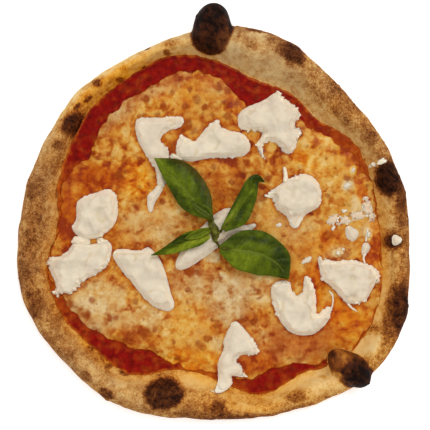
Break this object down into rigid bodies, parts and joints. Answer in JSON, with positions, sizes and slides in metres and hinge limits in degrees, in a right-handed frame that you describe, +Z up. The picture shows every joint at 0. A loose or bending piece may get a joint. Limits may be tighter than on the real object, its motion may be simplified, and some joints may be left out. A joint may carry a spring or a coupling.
{
  "type": "stracchino pizza",
  "caption": "Round baked pizza with a puffed, charred rim, tomato sauce, melted cheese, torn pieces of soft stracchino and a sprig of basil leaves.",
  "frame": {"origin": "middle of the flat underside, in plan the middle of the pizza's bounding box", "axes": "+Z up out of the toppings, +Y towards the large black bubble on the rim, +X to the right of it seen from above"},
  "size_m": [0.3179, 0.3354, 0.0296],
  "materials": {
    "dough": "baked dough, matt and floury with brown and black char",
    "sauce": "wet cooked tomato",
    "melted_cheese": "melted cheese, oily, cream to orange with browned spots",
    "stracchino": "soft moist white cheese",
    "basil": "waxy green leaf",
    "basil_stalk": "thin green stalk"
  },
  "bodies": {
    "root": {"crust": "dough", "tomato_sauce": "sauce", "melted_cheese": "melted_cheese", "stracchino_upper_left_streak": "stracchino", "stracchino_upper_bar": "stracchino", "stracchino_upper_right_dollop": "stracchino", "stracchino_right_dollop": "stracchino", "stracchino_right_smear": "stracchino", "stracchino_lower_right_dollop": "stracchino", "stracchino_claw_dollop": "stracchino", "stracchino_bottom_shred": "stracchino", "stracchino_left_dollop": "stracchino", "stracchino_left_torn_piece": "stracchino", "stracchino_left_long_piece": "stracchino", "stracchino_centre_piece": "stracchino", "stracchino_right_square_bit": "stracchino", "stracchino_right_thin_bit": "stracchino", "stracchino_right_tailed_bit": "stracchino", "stracchino_rim_crumb": "stracchino", "basil_leaf_lower_left": "basil", "basil_leaf_lower_right": "basil", "basil_leaf_upper_left": "basil", "basil_leaf_upper_right": "basil", "basil_stem": "basil_stalk"}
  },
  "joints": []
}
